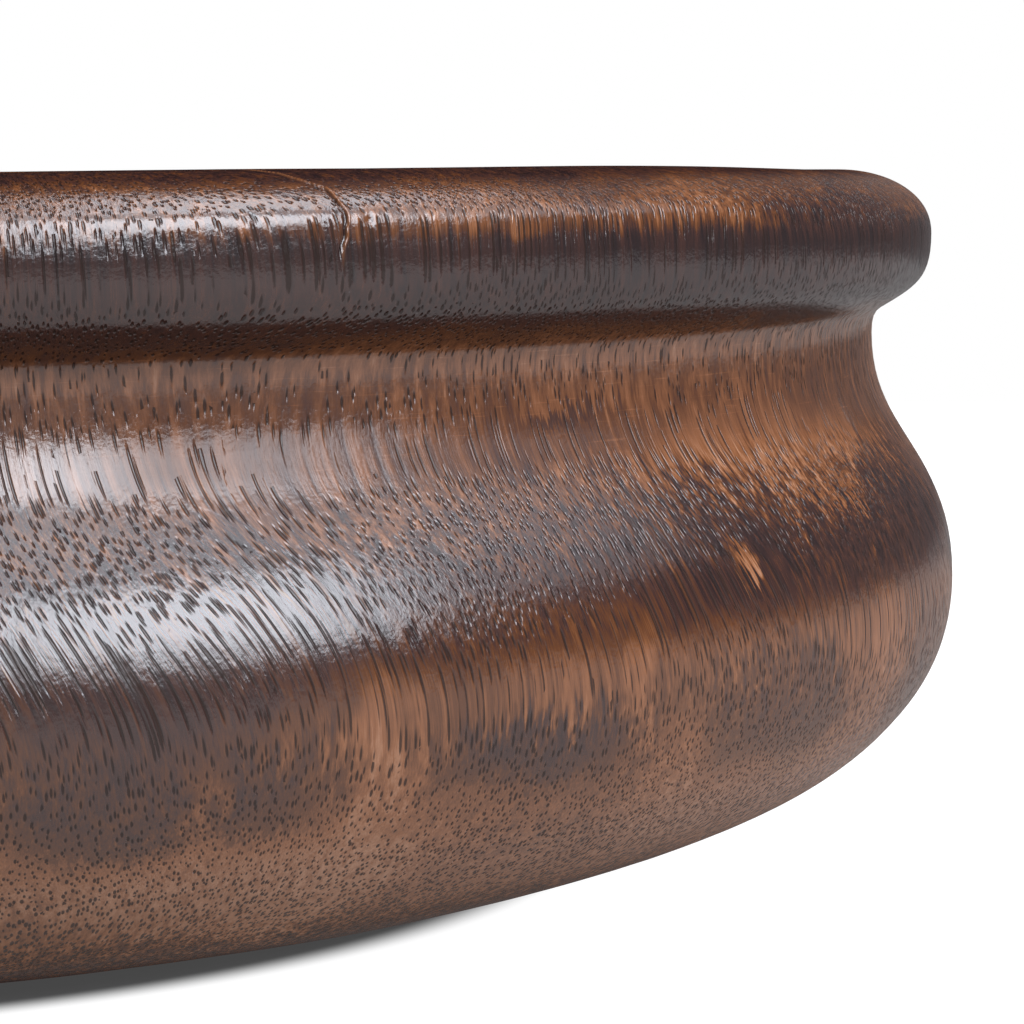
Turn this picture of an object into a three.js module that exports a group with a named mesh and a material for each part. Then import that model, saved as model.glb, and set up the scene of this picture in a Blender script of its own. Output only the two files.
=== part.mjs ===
// A carved wooden bowl: a wide round belly, a drawn-in neck and a rolled rim, cut from one block.
// Millimetres, +Z up, standing on z = 0 with the bowl's axis on the Z axis.

import * as THREE from 'three';

// Outside, from the ground up.
const BASE_RADIUS = 65;
const BELLY_RADIUS = 140;
const BELLY_HEIGHT = 32;
const NECK_RADIUS = 131;
const NECK_HEIGHT = 59;
const GROOVE_RADIUS = 132;
const GROOVE_HEIGHT = 61.7;
const RIM_RADIUS = 137.7;
const RIM_HEIGHT = 70;
const CREST_RADIUS = 127;
const TOTAL_HEIGHT = 78;

// Inside, from the rim down.
const LIP_RADIUS = 119.5;
const LIP_HEIGHT = 69;
const INNER_RADIUS = 127.5;
const INNER_HEIGHT = 36;
const FLOOR_HEIGHT = 10;

// How far each curve runs straight on from its ends, before it bends to the other end.
const UNDERSIDE_REACH = 57;
const BELLY_REACH_DOWN = 17.4;
const BELLY_REACH_UP = 13.8;
const NECK_REACH_DOWN = 11.3;
const NECK_REACH_UP = 1.6;
const GROOVE_REACH = 0.8;
const RIM_UNDERSIDE_REACH = 4.5;
const RIM_REACH_DOWN = 5.2;
const RIM_REACH_UP = 4.7;
const CREST_REACH_OUT = 6.2;
const CREST_REACH_IN = 4.2;
const LIP_REACH_UP = 5;
const LIP_REACH_DOWN = 9;
const INNER_REACH_UP = 12;
const INNER_REACH_DOWN = 17;
const FLOOR_REACH = 96;

// The rim's underside slopes up and out of the groove at this angle.
const RIM_UNDERSIDE_SLOPE = THREE.MathUtils.degToRad(30);

const SIDES = 72;
const STEPS = {
  underside: 9,
  neck: 8,
  groove: 2,
  rimUnderside: 5,
  rimTop: 5,
  lip: 4,
  innerWall: 6,
  floor: 9,
};

const UP = new THREE.Vector2(0, 1);
const DOWN = new THREE.Vector2(0, -1);
const OUT = new THREE.Vector2(1, 0);
const IN = new THREE.Vector2(-1, 0);
const ALONG_RIM_UNDERSIDE = new THREE.Vector2(Math.cos(RIM_UNDERSIDE_SLOPE), Math.sin(RIM_UNDERSIDE_SLOPE));

// A station of the profile: a point that the outline passes through in one direction.
function station(radius, height, direction) {
  return { point: new THREE.Vector2(radius, height), direction };
}

// The smooth curve between two stations, without its first point.
function bend(from, to, reachFrom, reachTo, steps) {
  const leave = from.direction.clone().multiplyScalar(reachFrom).add(from.point);
  const arrive = to.direction.clone().multiplyScalar(-reachTo).add(to.point);
  return new THREE.CubicBezierCurve(from.point, leave, arrive, to.point).getPoints(steps).slice(1);
}

// The outline runs from the axis out along the resting face, up the outside, over the rim, down the
// inside and back to the axis at the middle of the floor.
function bowlProfile() {
  const base = station(BASE_RADIUS, 0, OUT);
  const belly = station(BELLY_RADIUS, BELLY_HEIGHT, UP);
  const neck = station(NECK_RADIUS, NECK_HEIGHT, UP);
  const groove = station(GROOVE_RADIUS, GROOVE_HEIGHT, ALONG_RIM_UNDERSIDE);
  const rim = station(RIM_RADIUS, RIM_HEIGHT, UP);
  const crest = station(CREST_RADIUS, TOTAL_HEIGHT, IN);
  const lip = station(LIP_RADIUS, LIP_HEIGHT, DOWN);
  const inner = station(INNER_RADIUS, INNER_HEIGHT, DOWN);
  const floor = station(0, FLOOR_HEIGHT, IN);
  return [
    new THREE.Vector2(0, 0),
    base.point,
    ...bend(base, belly, UNDERSIDE_REACH, BELLY_REACH_DOWN, STEPS.underside),
    ...bend(belly, neck, BELLY_REACH_UP, NECK_REACH_DOWN, STEPS.neck),
    ...bend(neck, groove, NECK_REACH_UP, GROOVE_REACH, STEPS.groove),
    ...bend(groove, rim, RIM_UNDERSIDE_REACH, RIM_REACH_DOWN, STEPS.rimUnderside),
    ...bend(rim, crest, RIM_REACH_UP, CREST_REACH_OUT, STEPS.rimTop),
    ...bend(crest, lip, CREST_REACH_IN, LIP_REACH_UP, STEPS.lip),
    ...bend(lip, inner, LIP_REACH_DOWN, INNER_REACH_UP, STEPS.innerWall),
    ...bend(inner, floor, INNER_REACH_DOWN, FLOOR_REACH, STEPS.floor),
  ];
}

function makeBowl() {
  const shape = new THREE.LatheGeometry(bowlProfile(), SIDES);
  shape.rotateX(Math.PI / 2);
  const wood = new THREE.MeshStandardMaterial({ color: 0x5a3320, roughness: 0.35, metalness: 0 });
  const bowl = new THREE.Mesh(shape, wood);
  bowl.name = 'bowl';
  return bowl;
}

const model = new THREE.Group();
model.add(makeBowl());

export default model;
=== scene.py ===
import math

import bpy
import numpy as np
from mathutils import Matrix, Vector, noise


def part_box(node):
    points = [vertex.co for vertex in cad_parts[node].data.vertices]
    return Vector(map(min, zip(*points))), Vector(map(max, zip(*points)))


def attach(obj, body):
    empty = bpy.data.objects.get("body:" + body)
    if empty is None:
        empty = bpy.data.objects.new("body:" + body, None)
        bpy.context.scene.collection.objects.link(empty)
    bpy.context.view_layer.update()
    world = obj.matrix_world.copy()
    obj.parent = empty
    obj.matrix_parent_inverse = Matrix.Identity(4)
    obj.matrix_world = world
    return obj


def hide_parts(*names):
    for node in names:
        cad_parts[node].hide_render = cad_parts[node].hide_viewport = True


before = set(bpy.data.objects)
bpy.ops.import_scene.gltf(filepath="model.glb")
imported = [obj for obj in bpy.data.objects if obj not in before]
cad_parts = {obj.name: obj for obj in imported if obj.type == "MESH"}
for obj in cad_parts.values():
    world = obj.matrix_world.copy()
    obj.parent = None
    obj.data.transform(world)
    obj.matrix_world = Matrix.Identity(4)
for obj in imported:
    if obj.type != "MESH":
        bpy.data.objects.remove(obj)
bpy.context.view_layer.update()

BOX_LOW, BOX_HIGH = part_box("bowl")

# ---------------------------------------------------------------------------------------------------
# Sizes. Profile lengths are in millimetres of a bowl 280 mm across, and MM turns them into metres of
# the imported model.
# ---------------------------------------------------------------------------------------------------
MM = (BOX_HIGH.x - BOX_LOW.x) / 280
FLOOR_LEVEL = BOX_LOW.z

BASE_RADIUS = 65
BELLY_RADIUS = 140
BELLY_HEIGHT = 32
NECK_RADIUS = 131
NECK_HEIGHT = 59
GROOVE_RADIUS = 132
GROOVE_HEIGHT = 61.7
RIM_RADIUS = 137.7
RIM_HEIGHT = 70
CREST_RADIUS = 127
TOTAL_HEIGHT = 78
LIP_RADIUS = 119.5
LIP_HEIGHT = 69
INNER_RADIUS = 127.5
INNER_HEIGHT = 36
INNER_FLOOR_HEIGHT = 10

UP, DOWN, OUT, IN = (0, 1), (0, -1), (1, 0), (-1, 0)
RIM_UNDERSIDE = (math.cos(math.radians(30)), math.sin(math.radians(30)))

# Stations of the outline: radius, height, direction of travel, reach before it, reach after it, and
# the number of mesh rows on the way to the next station.
STATIONS = (
    (BASE_RADIUS, 0, OUT, 0, 57, 44),
    (BELLY_RADIUS, BELLY_HEIGHT, UP, 17.4, 13.8, 22),
    (NECK_RADIUS, NECK_HEIGHT, UP, 11.3, 1.6, 4),
    (GROOVE_RADIUS, GROOVE_HEIGHT, RIM_UNDERSIDE, 0.8, 4.5, 14),
    (RIM_RADIUS, RIM_HEIGHT, UP, 5.2, 4.7, 56),
    (CREST_RADIUS, TOTAL_HEIGHT, IN, 6.2, 4.2, 12),
    (LIP_RADIUS, LIP_HEIGHT, DOWN, 5, 9, 10),
    (INNER_RADIUS, INNER_HEIGHT, DOWN, 12, 17, 30),
    (0, INNER_FLOOR_HEIGHT, IN, 96, 0, 0),
)
BASE_ROWS = 12
CREST_ROW = BASE_ROWS + sum(station[5] for station in STATIONS[:5])

# One degree of azimuth in millimetres round the outside.
CHART_DEGREE = BELLY_RADIUS * math.pi / 180

# Azimuths run from -Y towards +X, in degrees. The mesh is finer over the stretch with the rim crack.
COARSE_STEP = 0.95
FINE_STEP = 0.045
FINE_FROM, FINE_TO = 20.4, 24.6

# The rim crack starts on the crest, runs down and to the right, and then straight down the rim's face:
# azimuth and height. It is shallow, and closes at its lower end.
CRACK = (
    (20.9, 78.0), (21.6, 77.7), (22.1, 77.0), (22.7, 76.3),
    (22.85, 74.5), (22.9, 73.4), (22.7, 71.8), (22.5, 69.6),
)
CRACK_WIDTH = 0.16
CRACK_DEPTH = 0.26

# It wavers by this many degrees, with this many radians of the wave to a millimetre of height.
CRACK_WAVER, CRACK_WAVES = 0.04, 2.9

# It closes between this far above its lowest point and this far below it.
CRACK_END_BELOW, CRACK_END_ABOVE = 0.5, 2.5

# The wood beside the crack stands a little proud on its right, this far from the middle.
LIP_OFFSET = 0.26
LIP_RAISE = 0.06

# A small nick in the rim's face beside the crack.
NICK_AZIMUTH, NICK_HEIGHT = 23.9, 73.6
NICK_HALF_WIDTH, NICK_HALF_HEIGHT, NICK_DEPTH = 0.45, 0.4, 0.2

# The carver's unevenness: wavelength and depth of each size of swell. It fades out at the base, and
# nearly all of it at the crest.
TOOL_SWELLS = ((46, 0.36), (17, 0.18), (7, 0.06))
TOOLED_ABOVE = (0.4, 6)
TOOLED_BELOW = (70, 77)
CREST_SMOOTHED = 0.9

# The crest sinks a little towards the right: by this much, from these azimuths to those, and only the
# top of the rim follows it.
CREST_SAG = 0.8
SAG_STARTS, SAG_ENDS = (38, 68), (95, 150)
SAG_HEIGHTS = (68, 78)

# The belly and shoulder hang a little lower at the left of the near side, the shoulder most.
DROOP = 1.1
DROOP_AZIMUTH, DROOP_SPREAD = 5, 24
DROOP_STARTS, DROOP_ENDS = (0.5, 5), (56, 61.5)
BELLY_SHARE, SHOULDER_EXTRA, SHOULDER_HEIGHTS = 0.8, 0.45, (42, 53)

# The rim's upper face is fuller along the near side, and more so on the right.
FULLNESS = 0.9
FULLEST_HEIGHT, FULL_SPREAD = 75.0, 2.1
FULL_SHARE, FULL_EXTRA, FULL_EXTRA_AZIMUTHS = 0.7, 0.5, (8, 22)
FULL_STARTS, FULL_ENDS = (-60, -25), (40, 60)
FULL_BELOW = (76.2, 77.6)


def smoothstep(low, high, x):
    """0 below low and 1 above high, smooth between."""
    t = np.clip((x - low) / (high - low), 0, 1)
    return t * t * (3 - 2 * t)


def bezier(p0, p1, p2, p3, n):
    """The n points of a cubic curve after its first point."""
    t = np.linspace(0, 1, n + 1)[1:, None]
    return (1 - t) ** 3 * p0 + 3 * (1 - t) ** 2 * t * p1 + 3 * (1 - t) * t**2 * p2 + t**3 * p3


def outline():
    """The half section's points from the middle of the base round to the middle of the inside floor."""
    rows = [np.array([[r, 0.0] for r in np.linspace(0, BASE_RADIUS, BASE_ROWS + 1)])]
    for (r0, z0, d0, _, reach0, n), (r1, z1, d1, reach1, _, _) in zip(STATIONS, STATIONS[1:]):
        start, end = np.array([r0, z0], float), np.array([r1, z1], float)
        leave = start + np.array(d0) * reach0
        arrive = end - np.array(d1) * reach1
        rows.append(bezier(start, leave, arrive, end, n))
    return np.concatenate(rows)


def azimuths():
    """The mesh's columns, closer together over the crack."""
    coarse_span = 360 - (FINE_TO - FINE_FROM)
    coarse = np.linspace(0, coarse_span, round(coarse_span / COARSE_STEP) + 1)[:-1] + FINE_TO
    fine = np.linspace(FINE_FROM, FINE_TO, round((FINE_TO - FINE_FROM) / FINE_STEP) + 1)[:-1]
    return np.concatenate([fine, coarse])


def swell(points, wavelength, seed):
    """Smooth noise from 0 to 1 at each point, in millimetres."""
    offset = Vector((seed * 17.3, seed * 5.1, seed * 9.7))
    return np.array([0.5 + 0.5 * noise.noise(Vector(p) / wavelength + offset) for p in points])


def crack_depth(degrees, z, aside=0.0):
    """1 in the middle of the crack, or this many millimetres to its right, and 0 away from there."""
    middle = np.interp(z, [p[1] for p in CRACK[::-1]], [p[0] for p in CRACK[::-1]])
    away = (degrees - middle - CRACK_WAVER * np.sin(z * CRACK_WAVES)) * CHART_DEGREE - aside
    lowest = CRACK[-1][1]
    ends = smoothstep(lowest - CRACK_END_BELOW, lowest + CRACK_END_ABOVE, z)
    return np.exp(-((away / CRACK_WIDTH) ** 2)) * ends


def carve(r, z, n_r, n_z, degrees, points, outside):
    """Moves the outline's points to the real surface, and gives the crack's and its lip's strength."""
    # The carver's unevenness always takes wood away, so the bowl never grows out of its box.
    tooled = sum(depth * swell(points, length, seed) for seed, (length, depth) in enumerate(TOOL_SWELLS, 1))
    tooled *= smoothstep(*TOOLED_ABOVE, z) * (1 - CREST_SMOOTHED * smoothstep(*TOOLED_BELOW, z))
    crack = crack_depth(degrees, z) * outside
    crack_lip = crack_depth(degrees, z, LIP_OFFSET) * outside
    nick_across = (degrees - NICK_AZIMUTH) * CHART_DEGREE / NICK_HALF_WIDTH
    nick_up = (z - NICK_HEIGHT) / NICK_HALF_HEIGHT
    nick = np.exp(-(nick_across**2) - nick_up**2)
    cut = tooled + CRACK_DEPTH * crack - LIP_RAISE * crack_lip + NICK_DEPTH * nick * outside

    sag = CREST_SAG * smoothstep(*SAG_STARTS, degrees) * (1 - smoothstep(*SAG_ENDS, degrees))
    sag *= smoothstep(*SAG_HEIGHTS, z)

    droop = DROOP * np.exp(-(((degrees - DROOP_AZIMUTH) / DROOP_SPREAD) ** 2)) * outside
    droop *= BELLY_SHARE + SHOULDER_EXTRA * smoothstep(*SHOULDER_HEIGHTS, z)
    droop *= smoothstep(*DROOP_STARTS, z) * (1 - smoothstep(*DROOP_ENDS, z))

    full = FULLNESS * np.exp(-(((z - FULLEST_HEIGHT) / FULL_SPREAD) ** 2)) * outside
    full *= FULL_SHARE + FULL_EXTRA * smoothstep(*FULL_EXTRA_AZIMUTHS, degrees)
    full *= smoothstep(*FULL_STARTS, degrees) * (1 - smoothstep(*FULL_ENDS, degrees))
    full *= 1 - smoothstep(*FULL_BELOW, z)

    r = r + n_r * (full - cut)
    z = np.minimum(z - n_z * cut - sag - droop, TOTAL_HEIGHT)
    return r, z, crack, crack_lip


def around(r, z, angle):
    """Points from radius, height and azimuth in radians."""
    return np.stack([r * np.sin(angle), -r * np.cos(angle), z], -1)


def ring_faces(rings, columns):
    """The faces between the rings, and round the middle point at each end."""
    bottom = rings * columns
    top = bottom + 1
    last = (rings - 1) * columns
    faces = []
    for j in range(rings - 1):
        low, high = j * columns, (j + 1) * columns
        for i in range(columns):
            k = (i + 1) % columns
            faces.append((low + i, low + k, high + k, high + i))
    for i in range(columns):
        k = (i + 1) % columns
        faces.append((bottom, k, i))
        faces.append((top, last + i, last + k))
    return faces


def make_bowl():
    profile = outline()
    az = np.radians(azimuths())
    columns, rows = len(az), len(profile)

    tangent = np.gradient(profile, axis=0)
    tangent /= np.maximum(np.linalg.norm(tangent, axis=1), 1e-9)[:, None]
    out_r, out_z = tangent[:, 1], -tangent[:, 0]

    # The first and last rows are single points on the axis, and all the others are rings.
    r = np.repeat(profile[1:-1, 0], columns)
    z = np.repeat(profile[1:-1, 1], columns)
    n_r = np.repeat(out_r[1:-1], columns)
    n_z = np.repeat(out_z[1:-1], columns)
    angle = np.tile(az, rows - 2)
    degrees = (np.degrees(angle) + 180) % 360 - 180
    outside = np.repeat((np.arange(rows) <= CREST_ROW)[1:-1], columns)
    r, z, crack, crack_lip = carve(r, z, n_r, n_z, degrees, around(r, z, angle), outside)

    middles = [[0, 0, profile[0, 1]], [0, 0, profile[-1, 1]]]
    world = np.vstack([around(r, z, angle), middles]) * MM
    world[:, 2] += FLOOR_LEVEL

    mesh = bpy.data.meshes.new("bowl_wood")
    mesh.from_pydata(world.tolist(), [], ring_faces(rows - 2, columns))
    mesh.polygons.foreach_set("use_smooth", [True] * len(mesh.polygons))
    # Each layer's values on the rings, and then on the two middle points.
    layers = (
        ("outside", outside.astype(float), [1.0, 0.0]),
        ("crack", crack, [0.0, 0.0]),
        ("crack_lip", crack_lip, [0.0, 0.0]),
    )
    for name, values, on_middles in layers:
        layer = mesh.attributes.new(name, "FLOAT", "POINT")
        layer.data.foreach_set("value", np.append(values, on_middles))
    mesh.update()
    bowl = bpy.data.objects.new("bowl_wood", mesh)
    bpy.context.scene.collection.objects.link(bowl)
    return bowl


class Nodes:
    """Short calls for building a node tree."""

    def __init__(self, tree):
        self.tree = tree

    def add(self, kind, **values):
        node = self.tree.nodes.new(kind)
        for key, value in values.items():
            setattr(node, key, value)
        return node

    def link(self, source, target):
        if isinstance(source, bpy.types.NodeSocket):
            self.tree.links.new(source, target)
        else:
            target.default_value = source

    def math(self, operation, a, b=0.0, c=0.0, clamp=False):
        node = self.add("ShaderNodeMath", operation=operation, use_clamp=clamp)
        for socket, value in zip(node.inputs, (a, b, c)):
            self.link(value, socket)
        return node.outputs[0]

    def times(self, first, *others):
        for value in others:
            first = self.math("MULTIPLY", first, value)
        return first

    def plus(self, first, *others):
        for value in others:
            first = self.math("ADD", first, value)
        return first

    def minus(self, a, b):
        return self.math("SUBTRACT", a, b)

    def most(self, first, *others):
        for value in others:
            first = self.math("MAXIMUM", first, value)
        return first

    def centred(self, value):
        """Noise about 0 instead of about one half."""
        return self.minus(value, 0.5)

    def vector(self, operation, a, b):
        node = self.add("ShaderNodeVectorMath", operation=operation)
        self.link(a, node.inputs[0])
        self.link(b, node.inputs[3 if operation == "SCALE" else 1])
        return node.outputs[0]

    def length(self, vector):
        node = self.add("ShaderNodeVectorMath", operation="LENGTH")
        self.link(vector, node.inputs[0])
        return node.outputs["Value"]

    def split(self, vector):
        node = self.add("ShaderNodeSeparateXYZ")
        self.link(vector, node.inputs[0])
        return node.outputs

    def combine(self, x, y, z):
        node = self.add("ShaderNodeCombineXYZ")
        for socket, value in zip(node.inputs, (x, y, z)):
            self.link(value, socket)
        return node.outputs[0]

    def step(self, value, low, high):
        """0 below low and 1 above high, smooth between; low may be above high."""
        node = self.add("ShaderNodeMapRange", interpolation_type="SMOOTHSTEP")
        self.link(value, node.inputs["Value"])
        self.link(low, node.inputs["From Min"])
        self.link(high, node.inputs["From Max"])
        return node.outputs["Result"]

    def window(self, value, rise_from, rise_to, fall_from, fall_to):
        """1 between rise_to and fall_from, and 0 outside rise_from and fall_to."""
        return self.times(self.step(value, rise_from, rise_to), self.step(value, fall_to, fall_from))

    def remap(self, value, low, high, to_low, to_high):
        node = self.add("ShaderNodeMapRange", clamp=True)
        self.link(value, node.inputs["Value"])
        self.link(low, node.inputs["From Min"])
        self.link(high, node.inputs["From Max"])
        self.link(to_low, node.inputs["To Min"])
        self.link(to_high, node.inputs["To Max"])
        return node.outputs["Result"]

    def noise(self, vector, scale, detail=2.0, rough=0.5, dims="3D"):
        node = self.add("ShaderNodeTexNoise", noise_dimensions=dims)
        self.link(vector, node.inputs["Vector"])
        node.inputs["Scale"].default_value = scale
        node.inputs["Detail"].default_value = detail
        node.inputs["Roughness"].default_value = rough
        return node

    def voronoi(self, vector, scale):
        node = self.add("ShaderNodeTexVoronoi", voronoi_dimensions="2D", feature="F1")
        self.link(vector, node.inputs["Vector"])
        node.inputs["Scale"].default_value = scale
        return node

    def mix(self, factor, a, b):
        node = self.add("ShaderNodeMix", data_type="RGBA", blend_type="MIX")
        self.link(factor, node.inputs["Factor"])
        self.link(a, node.inputs[6])
        self.link(b, node.inputs[7])
        return node.outputs[2]

    def blend(self, factor, a, b):
        """The same for two values."""
        node = self.add("ShaderNodeMix", data_type="FLOAT")
        self.link(factor, node.inputs[0])
        self.link(a, node.inputs[2])
        self.link(b, node.inputs[3])
        return node.outputs[0]

    def ramp(self, value, stops):
        node = self.add("ShaderNodeValToRGB")
        self.link(value, node.inputs[0])
        elements = node.color_ramp.elements
        while len(elements) < len(stops):
            elements.new(0.5)
        for element, (position, colour) in zip(elements, stops):
            element.position = position
            element.color = colour
        return node.outputs[0]


NEAR_BLACK = (0.0078, 0.0044, 0.0046, 1)
DARK_BROWN = (0.021, 0.0085, 0.0065, 1)
RED_BROWN = (0.045, 0.015, 0.005, 1)
ORANGE_BROWN = (0.10, 0.037, 0.014, 1)
TAN = (0.160, 0.078, 0.044, 1)
PORE_DARK = (0.010, 0.006, 0.005, 1)
# The crack's lip is lightened with this colour: a painted highlight where the lip catches the light.
PAINTED_LIP_HIGHLIGHT = (0.13, 0.050, 0.020, 1)
NECK_BLUSH = (0.052, 0.028, 0.021, 1)

# The wood's colours, from tone 0 to tone 1.
TONES = (
    (0.0, NEAR_BLACK),
    (0.25, DARK_BROWN),
    (0.5, RED_BROWN),
    (0.75, ORANGE_BROWN),
    (1.0, TAN),
)

# The colour bands round the outside, from the ground up: height and tone, 0 near-black to 1 tan.
BANDS = (
    (0, 0.15), (4, 0.28), (8, 0.52), (13, 0.72), (18, 0.70), (23, 0.60), (28, 0.56),
    (32, 0.56), (34.5, 0.42), (37, 0.20), (40, 0.20), (43, 0.28), (46, 0.38), (50, 0.44),
    (53, 0.52), (55, 0.55), (57, 0.57), (58.6, 0.54), (60, 0.64), (62, 0.56), (63.4, 0.30),
    (65, 0.11), (69.5, 0.08), (71.3, 0.12), (72.4, 0.36), (75, 0.46), (76.4, 0.43),
    (77.2, 0.22), (78, 0.16),
)

# Patches of the near side's figure, and one of painted sheen, laid on in this order: azimuth, height,
# half width in degrees, half height, tone and strength.
PATCHES = (
    (6, 66, 12, 4.5, 0.24, 0.7),
    (20, 65, 5, 4.5, 0.22, 0.6),
    (52, 66, 9, 3.5, 0.20, 0.6),
    # Painted sheen: this patch lightens the wood where the belly's highlight fades out to the right.
    (31, 37.2, 5.5, 2.6, 0.50, 0.7),
    (2, 14, 3.5, 5, 0.40, 0.75),
    (60, 57.5, 8, 3.5, 0.40, 0.6),
    (23.2, 23, 2.0, 10, 0.84, 0.7),
    (22, 14, 4, 6, 0.88, 0.7),
    (30.5, 25.5, 4.6, 3.8, 0.24, 0.85),
    (31.5, 31.5, 3.5, 3.2, 0.66, 0.7),
    (36, 30, 1.0, 6, 0.76, 0.7),
    (38.8, 21, 1.8, 6, 0.76, 0.7),
    (47, 26, 5.5, 6.5, 0.30, 0.7),
    (56, 25, 3.5, 9, 0.66, 0.8),
    (66, 25, 6, 12, 0.35, 0.6),
    (15.2, 24.5, 6.2, 6.5, 0.28, 0.8),
    (16.5, 23, 1.6, 3.5, 0.62, 0.7),
    (14, 32.5, 7.5, 3.5, 0.22, 0.9),
    (17, 15, 7, 4.5, 0.84, 0.8),
    (51, 50, 12, 3.2, 0.76, 0.85),
    (53, 45.5, 4, 1.6, 0.66, 0.7),
    (60, 54.5, 8, 3, 0.40, 0.7),
    (62, 41.5, 5.5, 4.5, 0.14, 0.9),
    (36.5, 54.8, 3.2, 1.2, 0.10, 0.85),
    (41, 56.5, 5, 2.4, 0.64, 0.7),
    (24, 57, 6.5, 1.8, 0.52, 0.8),
    (12, 56.5, 5, 2.0, 0.50, 0.8),
    (3, 58, 4, 3.0, 0.36, 0.7),
    (22, 48.5, 7, 3, 0.52, 0.8),
    (40, 42, 8, 4.2, 0.18, 0.7),
    (43, 40.3, 0.8, 2.3, 0.86, 0.9),
    (31, 74, 5, 1.6, 0.56, 0.8),
    (41, 74.2, 5, 1.6, 0.62, 0.8),
    (56, 73.5, 9, 2.2, 0.14, 0.85),
    (62, 75.2, 5, 1.0, 0.38, 0.6),
)

# A patch is solid out to the first of these shares of its half size, and gone at the second.
PATCH_EDGE = (0.65, 1.25)

# The patches belong to the near side, between these azimuths. Elsewhere the bands roam up and down.
NEAR_SIDE = (-10, 12, 66, 92)
FAR_ROAM = 70.0

# The patches' edges are ragged by this much, and the bands' edges by this share of it.
RAGGED, BAND_SHARE = 7.0, 0.35

# The streaks and lines draw the edges out along the fibres, by this much up or down. On the rim, above
# these heights, only a share of that is left.
STREAK_RISE, LINE_RISE = 9.0, 6.0
RIM_CALM, RIM_SHARE = (62.0, 54.0), 0.15

# LEVEL times a vector is its level part, and HALF is the middle of coloured noise.
LEVEL = (1.0, 1.0, 0.0)
HALF = (0.5, 0.5, 0.5)


def figure_tone(n, place, degrees, height, streaks, lines):
    """The outside's colour bands and patches, from 0 for near-black to 1 for tan."""
    far = n.minus(1.0, n.window(degrees, *NEAR_SIDE))
    ragged = n.noise(place, 0.11, 3.0, 0.55).outputs["Color"]
    ragged = n.vector("SUBTRACT", ragged, HALF)
    ragged = n.vector("MULTIPLY", ragged, (RAGGED, RAGGED, 0.0))
    roam = n.times(n.centred(n.noise(place, 0.018, 2.0).outputs["Fac"]), FAR_ROAM, far)
    rise = n.plus(n.times(n.centred(streaks), STREAK_RISE), n.times(n.centred(lines), LINE_RISE))
    rise = n.times(rise, n.remap(n.step(height, *RIM_CALM), 0.0, 1.0, RIM_SHARE, 1.0))
    smooth_chart = n.combine(degrees, n.plus(height, n.plus(rise, roam)), 0.0)
    chart = n.vector("ADD", smooth_chart, ragged)

    level = n.split(n.vector("ADD", smooth_chart, n.vector("MULTIPLY", ragged, (0.0, BAND_SHARE, 0.0))))[1]
    curve = n.add("ShaderNodeFloatCurve")
    n.link(n.math("DIVIDE", level, TOTAL_HEIGHT, clamp=True), curve.inputs["Value"])
    points = curve.mapping.curves[0].points
    while len(points) < len(BANDS):
        points.new(0.5, 0.5)
    for point, (band_height, tone) in zip(points, BANDS):
        point.location = (band_height / TOTAL_HEIGHT, tone)
        point.handle_type = "AUTO_CLAMPED"
    curve.mapping.update()
    tone = curve.outputs["Value"]

    for middle, patch_height, half_width, half_height, target, strength in PATCHES:
        offset = n.add("ShaderNodeVectorMath", operation="MULTIPLY_ADD")
        n.link(chart, offset.inputs[0])
        n.link((1 / half_width, 1 / half_height, 0.0), offset.inputs[1])
        n.link((-middle / half_width, -patch_height / half_height, 0.0), offset.inputs[2])
        mask = n.remap(n.length(offset.outputs[0]), *PATCH_EDGE, strength, 0.0)
        tone = n.blend(mask, tone, target)
    return tone


# The fibres lean aside and inwards over the shoulder, between these heights, and inwards alone from
# there up to the neck's top. Besides, they lean aside a little all the way up. The leans are in
# millimetres across to a millimetre up, and the shoulder's swell this many times round the bowl.
SHOULDER_FROM, SHOULDER_TO, NECK_TOP = 32.0, 49.0, 60.0
SWELL_AZIMUTH, SWELLS_ROUND = 15, 14.0
LEAN_ASIDE, LEAN_ASIDE_SWELL, LEAN_ALL_OVER = 0.37, 0.15, 0.08
LEAN_IN, LEAN_IN_SWELL, LEAN_IN_ABOVE = 0.12, 0.10, 0.28

# Inside this radius the fibres splay outwards towards the ground, by this share of the way in, up to
# this many millimetres of it. That draws the pores there out into short dashes.
SPLAY_RADIUS, SPLAY_SHARE, SPLAY_LIMIT = 132.0, 0.5, 60.0

# They weave about by this much, half as fast up the bowl as across it.
WEAVE, WEAVE_RATE = 11.0, (1.0, 1.0, 0.5)


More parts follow.
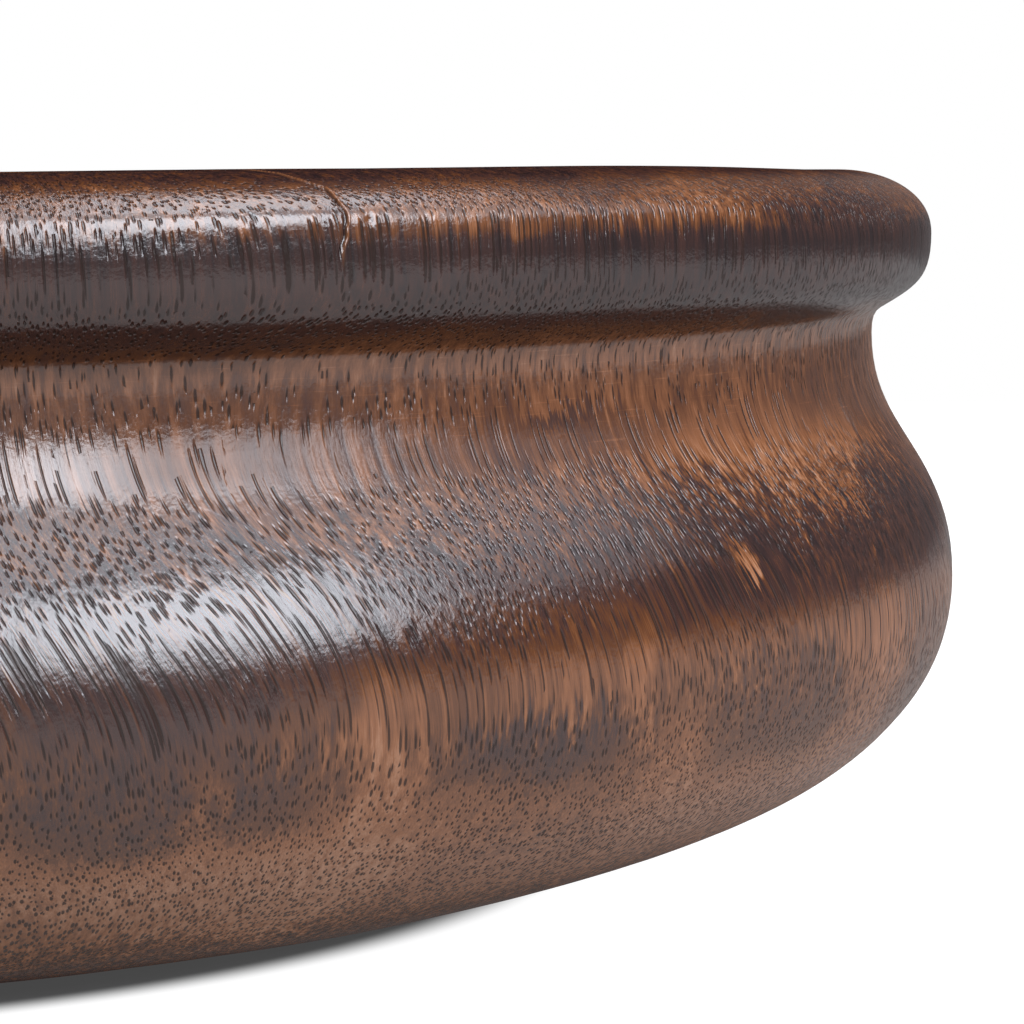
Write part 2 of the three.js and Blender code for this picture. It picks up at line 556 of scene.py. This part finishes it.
def across_fibres(n, place, azimuth, height, radius, outside):
    """A place in millimetres that stays the same all along one fibre, apart from its height."""
    swells = n.math("COSINE", n.times(n.minus(azimuth, math.radians(SWELL_AZIMUTH)), SWELLS_ROUND))
    shoulder = n.minus(n.math("SMOOTH_MIN", height, SHOULDER_TO, 8.0), SHOULDER_FROM)
    shoulder = n.math("SMOOTH_MAX", shoulder, 0.0, 6.0)
    above = n.minus(n.math("SMOOTH_MIN", height, NECK_TOP, 3.0), SHOULDER_TO)
    above = n.math("SMOOTH_MAX", above, 0.0, 4.0)
    splay = n.math("SMOOTH_MAX", n.minus(SPLAY_RADIUS, radius), 0.0, 6.0)
    splay = n.times(n.math("MINIMUM", splay, SPLAY_LIMIT), SPLAY_SHARE)

    aside = n.times(shoulder, n.plus(LEAN_ASIDE, n.times(swells, LEAN_ASIDE_SWELL)))
    aside = n.plus(aside, n.times(height, LEAN_ALL_OVER))
    inward = n.times(shoulder, n.plus(LEAN_IN, n.times(swells, LEAN_IN_SWELL)))
    inward = n.plus(inward, n.times(above, LEAN_IN_ABOVE), n.times(splay, outside))

    cos, sin = n.math("COSINE", azimuth), n.math("SINE", azimuth)
    lean = n.combine(
        n.plus(n.times(aside, cos), n.times(inward, sin)),
        n.minus(n.times(aside, sin), n.times(inward, cos)),
        0.0,
    )
    weave = n.noise(n.vector("MULTIPLY", place, WEAVE_RATE), 0.022, 2.0).outputs["Color"]
    weave = n.vector("MULTIPLY", n.vector("SUBTRACT", weave, HALF), (WEAVE, WEAVE, 0.0))
    return n.vector("ADD", n.vector("ADD", place, weave), lean)


# Zones of the surface, by height: where each starts and where it is whole, and, for one that ends
# again, where it starts to fade and where it is gone.
UNDERSIDE = (20.0, 11.0)
BELOW_BELLY = (37.0, 31.0)
NECK = (49.0, 53.0, 60.0, 66.0)
DARK_BAND = (61.0, 64.0, 70.0, 73.0)

# The streaks and the finer lines fade out in these places, by these shares: on the underside because
# the surface cuts the fibres end on there.
STREAK_FADE = (("underside", 0.6), ("below_belly", 0.35), ("dark_band", 0.6))
LINE_FADE = (("underside", 0.85), ("neck", 0.65), ("below_belly", 0.5), ("dark_band", 0.5))

# How much the streaks, the finer lines, the clouds and the sanding marks change the tone.
STREAK_CONTRAST, LINE_CONTRAST = 0.9, 0.65
CLOUDS_OUTSIDE, CLOUDS_INSIDE = 0.3, 0.8
SANDING_CONTRAST = 0.16

# The sanding marks' frequency: round the bowl to a radian, and up it to a millimetre.
SANDING_ROUND, SANDING_UP = 14.0, 3.4

# The growth rings' pith, beside the bowl's axis, and how far the rings bulge.
PITH = (-22.0, 38.0, 0.0)
RING_BULGE = 26.0

# Under the bowl, the walls' figure gives way to the growth rings between these radii.
RINGS_FADE = (74.0, 90.0)

# How much of the neck's outside is paler wood.
BLUSH = 0.30


def faded(n, zones, shares):
    """1 where nothing fades, less in the zones."""
    return n.minus(1.0, n.most(*(n.times(zones[name], share) for name, share in shares)))


def grain(n, place, across, ring, azimuth, height, radius, outside, zones):
    """The wood's colour without pores, and the noises that the relief uses."""
    bands = n.noise(n.combine(ring, 0.0, 0.0), 0.16, 3.0, 0.6).outputs["Fac"]
    streaks = n.noise(across, 0.9, 3.0, 0.6, "2D").outputs["Fac"]
    lines = n.noise(across, 2.3, 2.0, 0.6, "2D").outputs["Fac"]
    fibres = n.noise(across, 5.5, 3.0, 0.7, "2D").outputs["Fac"]
    clouds = n.centred(n.noise(place, 0.05, 3.0).outputs["Fac"])

    inner = n.plus(n.remap(bands, 0.32, 0.68, -0.1, 0.75), n.times(clouds, CLOUDS_INSIDE))
    degrees = n.times(azimuth, 180 / math.pi)
    outer = n.plus(figure_tone(n, place, degrees, height, streaks, lines), n.times(clouds, CLOUDS_OUTSIDE))
    # The resting face is cut end on as well, so it shows the rings like the inside.
    tone = n.blend(n.times(outside, n.step(radius, *RINGS_FADE)), inner, outer)

    tone = n.plus(tone, n.times(n.centred(streaks), faded(n, zones, STREAK_FADE), STREAK_CONTRAST))
    detail = n.plus(n.centred(lines), n.centred(fibres))
    tone = n.plus(tone, n.times(detail, LINE_CONTRAST, faded(n, zones, LINE_FADE)))
    # Faint marks of sanding run level round the neck.
    sanding = n.combine(n.times(azimuth, SANDING_ROUND), n.times(height, SANDING_UP), 0.0)
    sanding = n.step(n.noise(sanding, 1.0, 2.0, 0.6).outputs["Fac"], 0.60, 0.74)
    tone = n.plus(tone, n.times(sanding, zones["neck"], outside, SANDING_CONTRAST))
    colour = n.ramp(tone, TONES)
    colour = n.mix(n.times(zones["neck"], outside, BLUSH), colour, NECK_BLUSH)
    return colour, streaks, lines, fibres


# Pores are this far apart, in millimetres. The rest is in shares of that: their radii, how much wider
# they are on the underside, and how soft the edges of their dark and of their dimple are.
PORE_SPACING = 0.48
PORE_RADII = (0.12, 0.29)
UNDERSIDE_PORES = 1.35
PORE_EDGE, DIMPLE_EDGE = (0.09, -0.07), (0.20, -0.12)

# The share of places without a pore, where the growth rings have few pores and where they have many,
# and how it changes in the neck and on the underside.
FEW_PORES, MANY_PORES = 0.44, 0.04
NECK_FEWER, UNDERSIDE_MORE = 0.28, 0.08


def pores(n, across, ring, zones):
    """Where the pores are dark, and their wider dimples: round vessels that the surface cuts into dots
    or long slots, by how steep it is."""
    cells = n.voronoi(across, 1 / PORE_SPACING)
    chance = n.add("ShaderNodeSeparateColor")
    n.link(cells.outputs["Color"], chance.inputs[0])
    size = n.remap(chance.outputs[0], 0.0, 1.0, *PORE_RADII)
    size = n.times(size, n.remap(zones["underside"], 0.0, 1.0, 1.0, UNDERSIDE_PORES))
    from_edge = n.minus(cells.outputs["Distance"], size)
    rows = n.noise(n.combine(ring, 0.0, 0.0), 0.8, 1.0, 0.5).outputs["Fac"]
    missing = n.remap(rows, 0.38, 0.62, FEW_PORES, MANY_PORES)
    missing = n.plus(missing, n.times(zones["neck"], NECK_FEWER))
    missing = n.minus(missing, n.times(zones["underside"], UNDERSIDE_MORE))
    open_here = n.math("GREATER_THAN", chance.outputs[1], missing)
    dark = n.times(n.step(from_edge, *PORE_EDGE), open_here)
    dimple = n.times(n.step(from_edge, *DIMPLE_EDGE), open_here)
    return dark, dimple


# The clear coat has a high index and a low weight, so its shine hardly grows where the surface turns
# edge on.
COAT_WEIGHT, COAT_IOR, COAT_ROUGHNESS = 0.24, 2.2, 0.18

# The coat is missing on the crest and thin by the ground, by this share between these heights.
CREST_BARE, GROUND_BARE, GROUND_SHARE = (75.8, 77.4), (17.0, 7.0), 0.65

# Two places on the near side are rubbed dull: azimuths, heights and strength.
RUBBED_NECK = ((11, 17, 44, 60), (47.0, 52.0, 55.5, 59.0), 0.62)
RUBBED_BELLY = ((19, 27, 38, 52), (32.0, 36.0, 41.0, 45.0), 0.28)

# The wood's roughness, least and most, and how much rougher the pores and the bare wood are.
ROUGHNESS, PORE_ROUGHER, BARE_ROUGHER = (0.45, 0.55), 0.3, 0.25

# How much of the coat the pores lack, how dark they are, how much painted highlight lightens the crack's
# lip, and how much painted shade darkens the crack.
PORE_WORN, PORE_DARKNESS = 0.5, 0.85
LIP_HIGHLIGHT_SHARE, PAINTED_CRACK_SHADE = 0.8, 0.9

# Depths of the relief in millimetres: the dimples, and the streaks, lines and fibres between them.
# Then the sizes of the coat's fine orange-peel: frequency, detail and depth.
DIMPLE_DEPTH = 0.07
STREAK_DEPTH, LINE_DEPTH, FIBRE_DEPTH = 0.04, 0.02, 0.012
ORANGE_PEEL = ((0.8, 2.0, 0.045), (3.2, 2.0, 0.012), (9.0, 1.0, 0.006))


def rubbed(n, azimuth, height, patch):
    azimuths, heights, strength = patch
    across = n.window(azimuth, *(math.radians(a) for a in azimuths))
    return n.times(across, n.window(height, *heights), strength)


def wood():
    material = bpy.data.materials.new("carved_wood")
    material.use_nodes = True
    n = Nodes(material.node_tree)
    shader = material.node_tree.nodes["Principled BSDF"]

    place = n.vector("SCALE", n.add("ShaderNodeTexCoord").outputs["Object"], 1 / MM)
    x, y, height = n.split(place)
    azimuth = n.math("ARCTAN2", x, n.times(y, -1.0))
    radius = n.length(n.vector("MULTIPLY", place, LEVEL))
    outside = n.add("ShaderNodeAttribute", attribute_name="outside").outputs["Fac"]
    crack = n.add("ShaderNodeAttribute", attribute_name="crack").outputs["Fac"]
    crack_lip = n.add("ShaderNodeAttribute", attribute_name="crack_lip").outputs["Fac"]
    zones = {
        "underside": n.step(height, *UNDERSIDE),
        "below_belly": n.step(height, *BELOW_BELLY),
        "neck": n.window(height, *NECK),
        "dark_band": n.window(height, *DARK_BAND),
    }

    # Growth rings round the pith, pushed about by the weave.
    across = across_fibres(n, place, azimuth, height, radius, outside)
    from_pith = n.vector("MULTIPLY", n.vector("SUBTRACT", across, PITH), LEVEL)
    bulge = n.noise(place, 0.03, 3.0).outputs["Fac"]
    ring = n.plus(n.length(from_pith), n.times(bulge, RING_BULGE))

    colour, streaks, lines, fibres = grain(n, place, across, ring, azimuth, height, radius, outside, zones)
    pore, dimple = pores(n, across, ring, zones)
    colour = n.mix(n.times(pore, PORE_DARKNESS), colour, PORE_DARK)
    # Painted highlight along the crack's lip, and painted shade in near-black down its middle.
    colour = n.mix(n.times(crack_lip, LIP_HIGHLIGHT_SHARE), colour, PAINTED_LIP_HIGHLIGHT)
    colour = n.mix(n.times(crack, PAINTED_CRACK_SHADE), colour, NEAR_BLACK)
    n.link(colour, shader.inputs["Base Color"])

    bare = n.most(n.step(height, *CREST_BARE), n.times(n.step(height, *GROUND_BARE), GROUND_SHARE))
    dull = n.remap(n.noise(place, 0.35, 3.0).outputs["Fac"], 0.3, 0.7, *ROUGHNESS)
    dull = n.plus(dull, n.times(pore, PORE_ROUGHER), n.times(bare, BARE_ROUGHER))
    n.link(dull, shader.inputs["Roughness"])
    neck_worn = rubbed(n, azimuth, height, RUBBED_NECK)
    belly_worn = rubbed(n, azimuth, height, RUBBED_BELLY)
    worn = n.most(n.times(pore, PORE_WORN), neck_worn, belly_worn, bare)
    n.link(n.times(n.minus(1.0, worn), COAT_WEIGHT), shader.inputs["Coat Weight"])
    shader.inputs["Coat Roughness"].default_value = COAT_ROUGHNESS
    shader.inputs["Coat IOR"].default_value = COAT_IOR
    shader.inputs["Specular IOR Level"].default_value = 0.0

    # Pores are pits, the streaks between them are faint ridges, and the coat has a fine orange-peel.
    relief = n.times(dimple, -DIMPLE_DEPTH)
    textures = [(streaks, STREAK_DEPTH), (lines, LINE_DEPTH), (fibres, FIBRE_DEPTH)]
    for scale, detail, depth in ORANGE_PEEL:
        textures.append((n.noise(place, scale, detail).outputs["Fac"], depth))
    for texture, depth in textures:
        relief = n.plus(relief, n.times(texture, depth))
    bump = n.add("ShaderNodeBump")
    bump.inputs["Strength"].default_value = 1.0
    bump.inputs["Distance"].default_value = MM
    n.link(relief, bump.inputs["Height"])
    n.link(bump.outputs["Normal"], shader.inputs["Normal"])
    n.link(bump.outputs["Normal"], shader.inputs["Coat Normal"])
    return material


# How brightly the room and the backdrop behind the bowl shine on it. The camera sees plain white instead.
ROOM_LIGHT, BACKDROP_LIGHT = 0.3, 0.7
ROOM_TINT = (0.95, 0.97, 1.0, 1)

# The floor runs out into the white of the backdrop between these radii.
FLOOR_FADE_FROM, FLOOR_FADE_TO = 260 * MM, 700 * MM
FLOOR_RADIUS = 900 * MM
FLOOR_SIDES = 96
FLOOR_COLOUR = (0.14, 0.14, 0.14, 1)

# The floor glows, and hardly at all in a disc under the bowl: a painted contact shadow. The disc is a
# little left of the bowl's axis.
SHADE_GLOW, FLOOR_GLOW = 0.06, 1.0
GLOW_FROM, GLOW_FULL = 102 * MM, 109 * MM
SHADE_SHIFT = -11 * MM


def make_floor():
    mesh = bpy.data.meshes.new("floor")
    turns = [math.tau * i / FLOOR_SIDES for i in range(FLOOR_SIDES)]
    ring = [(FLOOR_RADIUS * math.cos(t), FLOOR_RADIUS * math.sin(t), FLOOR_LEVEL) for t in turns]
    mesh.from_pydata(ring, [], [tuple(range(FLOOR_SIDES))])
    floor = bpy.data.objects.new("floor", mesh)
    bpy.context.scene.collection.objects.link(floor)
    material = bpy.data.materials.new("pale_floor")
    material.use_nodes = True
    n = Nodes(material.node_tree)
    shader = material.node_tree.nodes["Principled BSDF"]
    shader.inputs["Base Color"].default_value = FLOOR_COLOUR
    shader.inputs["Roughness"].default_value = 0.9
    shader.inputs["Specular IOR Level"].default_value = 0.1
    shader.inputs["Emission Color"].default_value = (1, 1, 1, 1)
    place = n.add("ShaderNodeTexCoord").outputs["Object"]
    # The glow dims in the disc of painted contact shadow under the bowl.
    shade = n.length(n.vector("SUBTRACT", place, (SHADE_SHIFT, 0.0, 0.0)))
    glow = n.remap(n.step(shade, GLOW_FROM, GLOW_FULL), 0.0, 1.0, SHADE_GLOW, FLOOR_GLOW)
    glow = n.most(glow, n.step(n.length(place), FLOOR_FADE_FROM, FLOOR_FADE_TO))
    n.link(glow, shader.inputs["Emission Strength"])
    mesh.materials.append(material)


# Area lights that face the middle of the bowl: name, azimuth, elevation, distance, width, height, and
# how bright each one's surface is.
LIGHTS = (
    ("key", 36.8, 27.6, 1.3, 0.89, 0.70, 16),
    ("surround", 60, 43, 1.6, 1.9, 1.3, 3.2),
    ("top", 95, 66, 1.4, 1.2, 0.42, 11),
    ("front", 14, 53, 1.3, 0.6, 0.42, 4.5),
)
DAYLIGHT = (0.94, 0.98, 1.06)


def softbox(name, azimuth, elevation, distance, width, height, radiance):
    data = bpy.data.lights.new(name, "AREA")
    data.shape = "RECTANGLE"
    data.size, data.size_y = width, height
    data.energy = radiance * math.pi * width * height
    data.color = DAYLIGHT
    light = bpy.data.objects.new(name, data)
    bpy.context.scene.collection.objects.link(light)
    a, e = math.radians(azimuth), math.radians(elevation)
    target = Vector((0, 0, (BOX_LOW.z + BOX_HIGH.z) / 2))
    offset = Vector((math.sin(a) * math.cos(e), -math.cos(a) * math.cos(e), math.sin(e))) * distance
    light.location = target + offset
    light.rotation_euler = (-offset).to_track_quat("-Z", "Y").to_euler()


# The backdrop stands behind the bowl: it fades in over these shares of the direction towards +Y, and
# out over these shares of the direction up.
BACKDROP_AHEAD, BACKDROP_UP = (0.8, 0.97), (0.35, 0.1)


def make_world():
    world = bpy.data.worlds.new("studio")
    world.use_nodes = True
    bpy.context.scene.world = world
    n = Nodes(world.node_tree)
    backdrop = world.node_tree.nodes["Background"]
    backdrop.inputs["Color"].default_value = (1, 1, 1, 1)
    backdrop.inputs["Strength"].default_value = 1.0
    room = n.add("ShaderNodeBackground")
    room.inputs["Color"].default_value = ROOM_TINT
    _, ahead, up = n.split(n.add("ShaderNodeTexCoord").outputs["Generated"])
    behind = n.times(n.step(ahead, *BACKDROP_AHEAD), n.step(up, *BACKDROP_UP))
    n.link(n.remap(behind, 0.0, 1.0, ROOM_LIGHT, BACKDROP_LIGHT), room.inputs["Strength"])
    mix = n.add("ShaderNodeMixShader")
    n.link(n.add("ShaderNodeLightPath").outputs["Is Camera Ray"], mix.inputs[0])
    n.link(room.outputs[0], mix.inputs[1])
    n.link(backdrop.outputs[0], mix.inputs[2])
    n.link(mix.outputs[0], world.node_tree.nodes["World Output"].inputs["Surface"])


# The camera stands close, level with the rim, and the bowl's axis is left of what it takes in.
CAMERA_DISTANCE = 3.5 * BELLY_RADIUS * MM
CAMERA_HEIGHT = 78.2 * MM
CAMERA_TURN = math.radians(10.55)
CAMERA_DROP = math.radians(4.735)
CAMERA_ROLL = math.radians(-0.678)
CAMERA_LENS = 147.66
CAMERA_SENSOR = 36.0


def make_camera():
    data = bpy.data.cameras.new("camera")
    data.lens = CAMERA_LENS
    data.sensor_width = CAMERA_SENSOR
    data.clip_start = 0.01
    data.clip_end = 200
    camera = bpy.data.objects.new("camera", data)
    bpy.context.scene.collection.objects.link(camera)
    level = Vector((math.sin(CAMERA_TURN), math.cos(CAMERA_TURN), 0))
    right = Vector((math.cos(CAMERA_TURN), -math.sin(CAMERA_TURN), 0))
    ahead = level * math.cos(CAMERA_DROP) - Vector((0, 0, math.sin(CAMERA_DROP)))
    above = level * math.sin(CAMERA_DROP) + Vector((0, 0, math.cos(CAMERA_DROP)))
    side = right * math.cos(CAMERA_ROLL) + above * math.sin(CAMERA_ROLL)
    top = above * math.cos(CAMERA_ROLL) - right * math.sin(CAMERA_ROLL)
    turn = Matrix((side, top, -ahead)).transposed().to_4x4()
    stand = Matrix.Translation((0, -CAMERA_DISTANCE, FLOOR_LEVEL + CAMERA_HEIGHT))
    camera.matrix_world = stand @ turn
    bpy.context.scene.camera = camera


bowl = make_bowl()
bowl.data.materials.append(wood())
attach(bowl, "root")
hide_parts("bowl")
make_floor()
make_world()
make_camera()
for light in LIGHTS:
    softbox(*light)
bpy.context.scene.view_settings.view_transform = "Standard"
